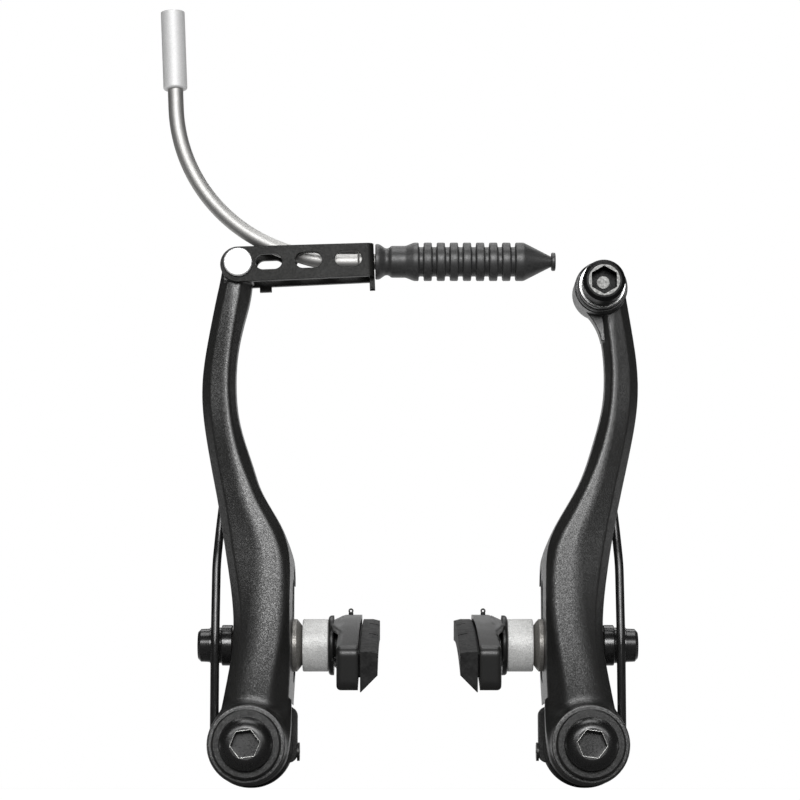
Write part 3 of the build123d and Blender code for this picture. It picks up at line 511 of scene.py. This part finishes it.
LINK_GREY = Finish(
    "link_satin_grey", (0.006, 0.006, 0.0055), (0.011, 0.011, 0.0102),
    Grain.MOULD, grain_mm=0.3, roughness=0.42, metallic=0.1, specular=0.12,
    bump_mm=0.001, wear=0.03,
)
PIN_SILVER = Finish(
    "pin_polished", (0.8, 0.8, 0.8), (0.9, 0.9, 0.9),
    Grain.MOULD, grain_mm=0.4, roughness=0.34, rough_spread=0.03, metallic=0.6,
    bump_mm=0.0003, edge_mm=0.4,
)
TUBE_STEEL = Finish(
    "noodle_stainless", (0.48, 0.475, 0.465), (0.58, 0.575, 0.56),
    Grain.MOULD, grain_mm=0.3, roughness=0.56, rough_spread=0.03, metallic=1.0,
    bump_mm=0.0, edge_mm=0.0,
)
LINER_PLASTIC = Finish(
    "noodle_liner", (0.55, 0.55, 0.53), (0.75, 0.75, 0.73),
    Grain.MOULD, grain_mm=0.4, roughness=0.4, bump_mm=0.002,
)
FERRULE_SILVER = Finish(
    "ferrule_satin_aluminium", (0.54, 0.54, 0.54), (0.66, 0.66, 0.66),
    Grain.FLECK, grain_mm=0.12, roughness=0.58, rough_spread=0.04, metallic=0.45,
    tilt=0.05, bump_mm=0.0, edge_mm=0.0,
)
BOOT_RUBBER = Finish(
    "boot_matt_rubber", (0.01, 0.01, 0.01), (0.03, 0.03, 0.03),
    Grain.MOTTLE, grain_mm=0.5, roughness=0.44, bump_mm=0.008, specular=0.75,
    edge_mm=0.1,
)
PLATE_BLACK = Finish(
    "plate_flake_black", (0.01, 0.01, 0.01), (0.022, 0.022, 0.022),
    Grain.FLECK, grain_mm=0.25, roughness=0.38, metallic=0.3, tilt=0.1, bump_mm=0.0,
)
WASHER_SILVER = Finish(
    "washer_bright", (0.36, 0.36, 0.36), (0.48, 0.48, 0.475),
    Grain.MOULD, grain_mm=0.25, roughness=0.3, rough_spread=0.04, metallic=1.0,
    bump_mm=0.0, edge_mm=0.0,
)
BARE_STEEL = Finish(
    "bare_steel", (0.4, 0.4, 0.39), (0.6, 0.6, 0.58),
    Grain.MOULD, grain_mm=0.2, roughness=0.32, metallic=1.0, bump_mm=0.001,
)
BARE_FACE = Finish(
    "bare_turned_face", (0.12, 0.12, 0.117), (0.26, 0.26, 0.252),
    Grain.MOTTLE, grain_mm=0.5, roughness=0.5, metallic=0.5, cloud_mm=1.2, edge_mm=0.0,
)
CLAMP_BLACK = Finish(
    "cable_bolt_black", (0.002, 0.002, 0.002), (0.006, 0.006, 0.006),
    Grain.MOULD, grain_mm=0.4, roughness=0.42, specular=0.12, bump_mm=0.001,
    cloud_share=0.5,
)
WIRE_DARK = Finish(
    "pad_pin_dark_wire", (0.02, 0.02, 0.02), (0.07, 0.07, 0.068),
    Grain.MOULD, grain_mm=0.2, roughness=0.4, metallic=0.8, bump_mm=0.001, edge_mm=0.0,
)
BUSH_STEEL = Finish(
    "bush_plain_steel", (0.35, 0.35, 0.35), (0.52, 0.52, 0.51),
    Grain.MOULD, grain_mm=0.25, roughness=0.32, metallic=1.0, bump_mm=0.001,
)


def dress(node: str, finish: Finish) -> None:
    """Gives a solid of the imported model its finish.

    Args:
        node: the solid's name.
        finish: the finish it gets.
    """
    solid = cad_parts[node]
    solid.data.materials.clear()
    solid.data.materials.append(finish.material())
    LOG.info("dressed %s in %s", node, finish.name)


def only(kind: type, items: Iterable[object]) -> list:
    """Picks the items of one kind out of an operator's result."""
    return [item for item in items if isinstance(item, kind)]


def rounded_off(
    mesh: bmesh.types.BMesh, edges: list[bmesh.types.BMEdge], soft: float, steps: int
) -> None:
    """Rounds edges of a shape.

    Args:
        mesh: the shape.
        edges: the edges to round.
        soft: how much of each face is rounded, in millimetres.
        steps: faces across the rounding.
    """
    bmesh.ops.bevel(
        mesh, geom=edges, offset=soft * MM, offset_type="OFFSET", segments=steps,
        profile=0.5, affect="EDGES", clamp_overlap=True, material=-1,
    )


def spun(
    profile: Profile, origin: Vector, along: Vector, soft: float
) -> bmesh.types.BMesh:
    """Turns a closed profile about an axis and rounds its corners.

    Args:
        profile: (distance along the axis, radius) pairs in millimetres.
        origin: the axis's start, in metres.
        along: the axis's direction, of length 1.
        soft: how much of each corner is rounded, in millimetres.

    Returns:
        The turned shape.
    """
    mesh = bmesh.new()
    across = along.orthogonal().normalized()
    ring = [
        mesh.verts.new(origin + along * distance * MM + across * radius * MM)
        for distance, radius in profile
    ]
    for first, second in zip(ring, ring[1:] + ring[:1]):
        mesh.edges.new((first, second))
    bmesh.ops.spin(
        mesh, geom=mesh.verts[:] + mesh.edges[:], cent=origin, axis=along,
        angle=FULL_TURN, steps=TURN_STEPS, use_merge=True,
    )
    bmesh.ops.remove_doubles(mesh, verts=mesh.verts[:], dist=SAME_PLACE)
    corners = [edge for edge in mesh.edges if edge.calc_face_angle(0.0) > CORNER_ANGLE]
    rounded_off(mesh, corners, soft, BEVEL_STEPS)
    bmesh.ops.recalc_face_normals(mesh, faces=mesh.faces[:])
    return mesh


def pushed(mesh: bmesh.types.BMesh, height: float) -> None:
    """Gives a flat shape a thickness along z.

    Args:
        mesh: the shape, with all its faces in one plane.
        height: the thickness in millimetres, upwards.
    """
    grown = bmesh.ops.extrude_face_region(mesh, geom=mesh.faces[:])["geom"]
    verts = only(bmesh.types.BMVert, grown)
    bmesh.ops.translate(mesh, verts=verts, vec=(0.0, 0.0, height * MM))
    bmesh.ops.recalc_face_normals(mesh, faces=mesh.faces[:])


@dataclass(frozen=True)
class Socket:
    """The hex socket of a bolt that faces the viewer, in metres."""

    centre: Vector
    corner: Vector
    floor: float

    @classmethod
    def of(cls, node: str, inner: float = 3.3, outer: float = 3.55) -> "Socket":
        """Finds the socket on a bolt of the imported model.

        Args:
            node: the bolt's name.
            inner: a radius inside the socket's corners, in millimetres.
            outer: a radius outside them.

        Returns:
            The socket.
        """
        low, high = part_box(node)
        centre = Vector(((low[0] + high[0]) / 2, low[1], (low[2] + high[2]) / 2))
        spokes = [vert.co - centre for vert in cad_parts[node].data.vertices]
        corners = [
            spoke for spoke in spokes
            if inner * MM < math.hypot(spoke.x, spoke.z) < outer * MM
        ]
        mouth = min(corners, key=lambda spoke: spoke.y)
        deepest = max(corners, key=lambda spoke: spoke.y)
        return cls(centre, Vector((mouth.x, 0.0, mouth.z)), deepest.y)

    def plane(self, depth: float = 0.0) -> Matrix:
        """Places a shape drawn on z = 0, with y to a corner and z to the viewer.

        Args:
            depth: how far below the bolt's face, in metres.

        Returns:
            The matrix that moves the shape there.
        """
        out = Vector((0.0, -1.0, 0.0))
        up = self.corner.normalized()
        turned = Matrix((up.cross(out), up, out)).transposed().to_4x4()
        return Matrix.Translation(self.centre - out * depth) @ turned

    def frame_ring(
        self, inner: float, outer: float, rise: float, sunk: float
    ) -> bmesh.types.BMesh:
        """Makes a six-sided ring that lines the socket's mouth.

        Args:
            inner: the ring's inner size as a share of the socket's.
            outer: its outer size, likewise.
            rise: how far it stands above the bolt's face, in millimetres.
            sunk: how far it reaches into the socket.

        Returns:
            The ring, in place.
        """
        mesh = bmesh.new()
        radius = self.corner.length
        for share in (outer, inner):
            bmesh.ops.create_circle(
                mesh, cap_ends=False, segments=HEX_SIDES, radius=radius * share
            )
        bmesh.ops.bridge_loops(mesh, edges=mesh.edges[:])
        bmesh.ops.translate(mesh, verts=mesh.verts[:], vec=(0.0, 0.0, -sunk * MM))
        pushed(mesh, sunk + rise)
        brink = [
            edge for edge in mesh.edges
            if all(vert.co.z > 0.0 and vert.co.xy.length < radius for vert in edge.verts)
        ]
        rounded_off(mesh, brink, rise, BEVEL_STEPS - 1)
        bmesh.ops.transform(mesh, matrix=self.plane(), verts=mesh.verts[:])
        return mesh

    def face_ring(
        self, outer: float, rise: float, side_steps: int = 10
    ) -> bmesh.types.BMesh:
        """Makes the bare face between the socket and a round edge.

        Args:
            outer: the round edge's radius, in millimetres.
            rise: how far the face stands above the bolt's own.
            side_steps: faces along each side of the socket.

        Returns:
            The ring, in place.
        """
        mesh = bmesh.new()
        bmesh.ops.create_circle(
            mesh, cap_ends=False, segments=HEX_SIDES, radius=self.corner.length
        )
        bmesh.ops.subdivide_edges(mesh, edges=mesh.edges[:], cuts=side_steps - 1)
        bmesh.ops.create_circle(
            mesh, cap_ends=False, segments=HEX_SIDES * side_steps, radius=outer * MM
        )
        bmesh.ops.bridge_loops(mesh, edges=mesh.edges[:])
        pushed(mesh, rise)
        bmesh.ops.transform(mesh, matrix=self.plane(), verts=mesh.verts[:])
        return mesh

    def floor_disc(self, radius: float, rise: float) -> bmesh.types.BMesh:
        """Makes a round boss on the socket's floor.

        Args:
            radius: its radius, in millimetres.
            rise: its height.

        Returns:
            The boss, in place.
        """
        mesh = bmesh.new()
        bmesh.ops.create_circle(
            mesh, cap_ends=True, segments=CIRCLE_STEPS, radius=radius * MM
        )
        pushed(mesh, rise)
        rim = [edge for edge in mesh.edges if all(vert.co.z > 0.0 for vert in edge.verts)]
        rounded_off(mesh, rim, rise / 2, BEVEL_STEPS)
        bmesh.ops.transform(mesh, matrix=self.plane(self.floor), verts=mesh.verts[:])
        return mesh


def piece(
    name: str, mesh: bmesh.types.BMesh, finish: Finish, body: str,
    stands_for: Iterable[str] = (), smooth: bool = True,
) -> None:
    """Makes a finished piece of a mesh and hangs it on its body.

    Args:
        name: the piece's name.
        mesh: its shape, in place; it is freed here.
        finish: its finish.
        body: the body it rides on.
        stands_for: solids that it replaces.
        smooth: whether its faces run into each other.
    """
    data = bpy.data.meshes.new(name)
    mesh.to_mesh(data)
    mesh.free()
    data.materials.append(finish.material())
    if smooth:
        data.shade_smooth()
        data.set_sharp_from_angle(angle=SHARP_ANGLE)
    made = bpy.data.objects.new(name, data)
    bpy.context.scene.collection.objects.link(made)
    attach(made, body)
    if stands_for:
        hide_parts(*stands_for)
    LOG.info("piece %s: %d faces on %s", name, len(data.polygons), body)


@dataclass
class PivotSet:
    """Everything that stays on one frame boss.

    The rim's two sizes are shares of the socket's, its heights are in millimetres.
    """

    side: Side
    rim_inner: float = 0.99
    rim_outer: float = 1.05
    rim_rise: float = 0.06
    rim_sunk: float = 0.4

    def build(self) -> None:
        """Adds the bare rim of the bolt's socket."""
        socket = Socket.of(self.side.node("pivot_bolt"))
        rim = socket.frame_ring(
            self.rim_inner, self.rim_outer, self.rim_rise, self.rim_sunk
        )
        piece(
            self.side.node("bolt_socket_rim"), rim, BARE_STEEL, "frame_side",
            smooth=False,
        )

    def dress(self) -> None:
        """Finishes the bush, bolt, ring, spring holder and its screw."""
        for name, finish in (
            ("pivot_bush", BUSH_STEEL),
            ("pivot_bolt", BOLT_BLACK),
            ("pivot_washer", RING_GREY),
            ("spring_holder", HOLDER_PLASTIC),
            ("tension_screw", WIRE_DARK),
        ):
            dress(self.side.node(name), finish)


@dataclass
class ArmSet:
    """One arm with its sleeve and return spring."""

    side: Side

    def dress(self) -> None:
        """Finishes the arm and what turns with it."""
        for name, finish in (
            ("arm", ARM_PAINT),
            ("arm_sleeve", SLEEVE_PLASTIC),
            ("spring", SPRING_BLACK),
            ("spring_cap", CAP_PLASTIC),
            ("spring_pin", STUD_STEEL),
        ):
            dress(self.side.node(name), finish)


@dataclass
class ShoeSet:
    """One shoe with its clamp washers and nut."""

    side: Side

    def dress(self) -> None:
        """Finishes the washers, nut, stud, holder, pad and pin."""
        for name, finish in (
            ("inner_dome_washer", DOME_STEEL),
            ("inner_cup_washer", SPACER_SILVER),
            ("outer_dome_washer", DOME_STEEL),
            ("outer_cup_washer", HARDWARE_BLACK),
            ("shoe_nut", HARDWARE_BLACK),
            ("shoe_stud", STUD_STEEL),
            ("shoe_holder", SHOE_GREY),
            ("brake_pad", PAD_RUBBER),
            ("pad_pin", WIRE_DARK),
        ):
            dress(self.side.node(name), finish)


@dataclass
class Boot:
    """The rubber boot; radii and distances from its lip, in millimetres."""

    lip: float = 4.4
    lip_length: float = 1.0
    lip_taper: float = 0.1
    neck: float = 3.3
    neck_span: Span = (2.4, 3.2)
    sleeve: float = 3.9
    sleeve_span: Span = (3.9, 7.4)
    rib: float = 4.7
    first_rib: float = 9.4
    groove: float = 3.6
    groove_width: float = 1.2
    first_groove: float = 10.6
    pitch: float = 3.2
    grooves: int = 8
    tip: float = 1.25
    rim: float = 2.25
    rim_length: float = 1.0
    bore: float = 0.85
    room_radius: float = 1.95
    room_length: float = 6.0
    soft: float = 0.3

    def profile(self, length: float) -> Profile:
        """Draws half of the boot's section.

        Args:
            length: the boot's length, in millimetres.

        Returns:
            (distance, radius) pairs round the section.
        """
        ribs = [(self.first_rib, self.rib)]
        for number in range(self.grooves):
            near = self.first_groove + number * self.pitch
            far = near + self.groove_width
            ribs += [
                (near, self.rib), (near, self.groove), (far, self.groove), (far, self.rib)
            ]
        cone_end = length - self.rim_length
        return [
            (0.0, self.lip),
            (self.lip_length, self.lip - self.lip_taper),
            *((place, self.neck) for place in self.neck_span),
            *((place, self.sleeve) for place in self.sleeve_span),
            *ribs,
            (self.first_groove + self.grooves * self.pitch, self.rib),
            (cone_end, self.tip),
            (cone_end, self.rim),
            (length, self.rim),
            (length, self.bore),
            (self.room_length, self.bore),
            (self.room_length, self.room_radius),
            (0.0, self.room_radius),
        ]

    def build(self) -> None:
        """Moulds the boot with its soft ribs."""
        low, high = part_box("boot")
        start = Vector((low[0], (low[1] + high[1]) / 2, (low[2] + high[2]) / 2))
        profile = self.profile((high[0] - low[0]) / MM)
        piece(
            "ribbed_boot", spun(profile, start, Vector((1.0, 0.0, 0.0)), self.soft),
            BOOT_RUBBER, "link", ["boot"],
        )


@dataclass
class Noodle:
    """The bent guide tube, in millimetres, degrees and, for a step, radians."""

    radius: float = 1.9
    bore: float = 1.35
    set_reach: float = 16.0
    set_radius: float = 25.0
    set_angle: float = 17.0
    run: float = 34.6
    bend_radius: float = 40.0
    lean: float = 2.8
    rise: float = 47.9
    bend_step: float = 0.03
    bend_axis: Vector = field(default_factory=lambda: Vector((0.0, 1.0, 0.0)))

    def legs(self) -> list[Triple]:
        """Works out the straight runs and the bends between them.

        Returns:
            Each run's length with the radius and turn of the bend after it.
        """
        set_turn = math.radians(self.set_angle)
        lean = math.radians(self.lean)
        bend_turn = math.pi / 2 - lean - set_turn
        set_cut = self.set_radius * math.tan(set_turn / 2)
        bend_cut = self.bend_radius * math.tan(bend_turn / 2)
        slope = self.run / math.cos(set_turn)
        top = (self.rise - self.run * math.tan(set_turn)) / math.cos(lean)
        return [
            (self.set_reach - set_cut, self.set_radius, set_turn),
            (slope - set_cut - bend_cut, self.bend_radius, bend_turn),
            (top - bend_cut, 0.0, 0.0),
        ]

    def bent(self) -> bmesh.types.BMesh:
        """Bends the tube from its nose up.

        Returns:
            The tube, in place.
        """
        low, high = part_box("noodle_tube")
        place = Vector((high[0], (low[1] + high[1]) / 2, low[2] + self.radius * MM))
        heading = Vector((-1.0, 0.0, 0.0))
        facing = heading.to_track_quat("Z", "Y").to_matrix().to_4x4()
        start = Matrix.Translation(place) @ facing
        mesh = bmesh.new()
        for radius in (self.radius, self.bore):
            bmesh.ops.create_circle(
                mesh, cap_ends=False, segments=CIRCLE_STEPS, radius=radius * MM
            )
        bmesh.ops.transform(mesh, matrix=start, verts=mesh.verts[:])
        nose = end = mesh.edges[:]
        for length, radius, turn in self.legs():
            grown = bmesh.ops.extrude_edge_only(mesh, edges=end)["geom"]
            verts = only(bmesh.types.BMVert, grown)
            end = only(bmesh.types.BMEdge, grown)
            bmesh.ops.translate(mesh, verts=verts, vec=heading * length * MM)
            place = place + heading * length * MM
            if not turn:
                continue
            centre = place + self.bend_axis.cross(heading) * radius * MM
            grown = bmesh.ops.spin(
                mesh, geom=verts + end, cent=centre, axis=self.bend_axis, angle=turn,
                steps=math.ceil(turn / self.bend_step),
            )["geom_last"]
            end = only(bmesh.types.BMEdge, grown)
            turned = Matrix.Rotation(turn, 3, self.bend_axis)
            heading = turned @ heading
            place = centre + turned @ (place - centre)
        for rims in (nose, end):
            bmesh.ops.bridge_loops(mesh, edges=rims)
        bmesh.ops.recalc_face_normals(mesh, faces=mesh.faces[:])
        return mesh

    def build(self) -> None:
        """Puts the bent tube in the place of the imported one."""
        piece(
            "bent_noodle", self.bent(), TUBE_STEEL, "link", ["noodle_tube"]
        )


@dataclass
class LinkSet:
    """The link with the noodle and the boot."""

    boot: Boot = field(default_factory=Boot)
    noodle: Noodle = field(default_factory=Noodle)

    def build(self) -> None:
        """Moulds the boot and bends the tube."""
        self.boot.build()
        self.noodle.build()

    def dress(self) -> None:
        """Finishes the link, its pin and what is left of the noodle."""
        for name, finish in (
            ("link", LINK_GREY),
            ("link_pin", PIN_SILVER),
            ("noodle_liner", LINER_PLASTIC),
            ("noodle_ferrule", FERRULE_SILVER),
            ("noodle_collar", TUBE_STEEL),
        ):
            dress(name, finish)


@dataclass
class CableClamp:
    """Plate, washer and bolt that pinch the cable, in millimetres."""

    face_radius: float = 3.75
    face_rise: float = 0.02
    core_radius: float = 1.6
    core_rise: float = 0.3

    def build(self) -> None:
        """Adds the bolt's bare face and the bright core in its socket."""
        socket = Socket.of("cable_bolt")
        for name, mesh in (
            ("cable_bolt_face", socket.face_ring(self.face_radius, self.face_rise)),
            ("cable_bolt_core", socket.floor_disc(self.core_radius, self.core_rise)),
        ):
            piece(name, mesh, BARE_FACE, "right_arm", smooth=False)

    def dress(self) -> None:
        """Finishes the clamp's three pieces."""
        dress("cable_plate", PLATE_BLACK)
        dress("cable_washer", WASHER_SILVER)
        dress("cable_bolt", CLAMP_BLACK)


@dataclass(frozen=True)
class Lamp:
    """A soft box of the studio, in metres and watts."""

    name: str
    place: Triple
    width: float
    height: float
    power: float

    def hang(self, target: Vector) -> None:
        """Hangs the lamp and aims it.

        Args:
            target: the point it faces.
        """
        data = bpy.data.lights.new(self.name, "AREA")
        data.shape = "RECTANGLE"
        data.size = self.width
        data.size_y = self.height
        data.energy = self.power
        lamp = bpy.data.objects.new(self.name, data)
        lamp.location = self.place
        lamp.visible_camera = False
        aim = (target - lamp.location).to_track_quat("-Z", "Y")
        lamp.rotation_euler = aim.to_euler()
        bpy.context.scene.collection.objects.link(lamp)


@dataclass
class Studio:
    """Pale floor, white surround, soft boxes and the camera.

    Lengths are in metres. A pair of ends says where what mirror rays see goes from the
    dim room to white: by the direction's y and z, and by y on the floor.
    """

    camera_place: Triple = (-0.0043, -0.6, -0.010)
    camera_pitch: float = 8.97
    camera_near: float = 0.01
    lens: float = 110.6
    sensor: float = 36.0
    floor_size: float = 4.0
    floor_gap: float = 0.0002
    floor_colour: Triple = (0.85, 0.85, 0.85)
    floor_roughness: float = 0.9
    floor_specular: float = 0.1
    floor_glow: float = 0.94
    surround: float = 0.25
    room: float = 0.06
    wall_ends: Span = (0.82, 1.0)
    ceiling_ends: Span = (0.85, 0.5)
    floor_ends: Span = (0.0, 0.15)
    lamps: tuple[Lamp, ...] = (
        Lamp("wide_box", (0.0, -1.0, 0.44), 1.7, 0.26, 6.4),
        Lamp("strip_box", (0.0, -1.0, 0.33), 0.3, 0.34, 4.6),
        Lamp("top_box", (0.0, -0.1, 0.8), 0.5, 0.4, 2.2),
        Lamp("back_box", (0.0, 0.7, 1.1), 1.2, 0.5, 4.0),
    )

    def build(self) -> None:
        """Sets up the whole studio."""
        self._floor()
        self._world()
        self._camera()
        middle = (CAD_BOX[0] + CAD_BOX[1]) / 2
        for lamp in self.lamps:
            lamp.hang(middle)
        bpy.context.scene.view_settings.view_transform = "Standard"

    def _paper(self) -> bpy.types.Material:
        """Makes the floor's material.

        Returns:
            Pale paper that takes shadows, seen white by the camera and by mirror rays
            that meet it behind the object.
        """
        nodes = Shader("floor_white")
        nodes.set(
            Base_Color=(*self.floor_colour, 1.0),
            Roughness=self.floor_roughness,
            Specular_IOR_Level=self.floor_specular,
        )
        rays = nodes.add("ShaderNodeLightPath").outputs
        direct = (rays["Is Camera Ray"], rays["Is Transmission Ray"])
        glossy = rays["Is Glossy Ray"]
        place = nodes.add("ShaderNodeSeparateXYZ", nodes.coords).outputs
        behind = nodes.mapped(place["Y"], self.floor_ends, (self.room, 1.0), soft=True)
        shown = nodes.total(*direct, nodes.product(glossy, behind))
        glow = nodes.add("ShaderNodeEmission", Strength=shown)
        seen = nodes.math("MULTIPLY", nodes.total(*direct, glossy), self.floor_glow)
        mix = nodes.add(
            "ShaderNodeMixShader", seen, nodes.main.outputs[0], glow.outputs[0]
        )
        surface = nodes.tree.nodes["Material Output"].inputs["Surface"]
        nodes.feed(surface, mix.outputs[0])
        return nodes.material

    def _floor(self) -> None:
        """Lays the pale floor."""
        mesh = bmesh.new()
        bmesh.ops.create_grid(
            mesh, x_segments=1, y_segments=1, size=self.floor_size / 2
        )
        level = CAD_BOX[0].z - self.floor_gap
        bmesh.ops.translate(mesh, verts=mesh.verts[:], vec=(0, 0, level))
        data = bpy.data.meshes.new("floor")
        mesh.to_mesh(data)
        mesh.free()
        data.materials.append(self._paper())
        floor = bpy.data.objects.new("floor", data)
        bpy.context.scene.collection.objects.link(floor)

    def _world(self) -> None:
        """Surrounds the object with white that lights it only softly.

        Mirror rays see the white behind the object, and a dim room before and above it.
        """
        world = bpy.data.worlds.new("surround")
        world.use_nodes = True
        bpy.context.scene.world = world
        nodes = Wiring(world.node_tree)
        background = nodes.tree.nodes["Background"]
        background.inputs["Color"].default_value = (1.0, 1.0, 1.0, 1.0)
        rays = nodes.add("ShaderNodeLightPath").outputs
        coords = nodes.add("ShaderNodeTexCoord").outputs["Generated"]
        way = nodes.add("ShaderNodeSeparateXYZ", coords).outputs
        behind, under = (
            nodes.mapped(way[axis], ends, (self.room, 1.0), soft=True)
            for axis, ends in (("Y", self.wall_ends), ("Z", self.ceiling_ends))
        )
        mirrored = nodes.product(rays["Is Glossy Ray"], behind, under)
        shown = nodes.total(rays["Is Camera Ray"], rays["Is Transmission Ray"], mirrored)
        lit = nodes.math("MULTIPLY_ADD", rays["Is Diffuse Ray"], self.surround, shown)
        nodes.feed(background.inputs["Strength"], lit)

    def _camera(self) -> None:
        """Puts the camera at the picture's viewing angle."""
        data = bpy.data.cameras.new("camera")
        data.lens = self.lens
        data.sensor_width = self.sensor
        data.clip_start = self.camera_near
        camera = bpy.data.objects.new("camera", data)
        camera.location = self.camera_place
        camera.rotation_euler = (math.radians(90 + self.camera_pitch), 0, 0)
        bpy.context.scene.collection.objects.link(camera)
        bpy.context.scene.camera = camera


def main() -> None:
    """Builds and dresses the brake, then the studio."""
    logging.basicConfig(level=logging.INFO, format="%(name)s: %(message)s")
    for side in Side:
        pivot = PivotSet(side)
        pivot.build()
        pivot.dress()
        ArmSet(side).dress()
        ShoeSet(side).dress()
    for group in (LinkSet(), CableClamp()):
        group.build()
        group.dress()
    Studio().build()


if __name__ == "__main__":
    main()
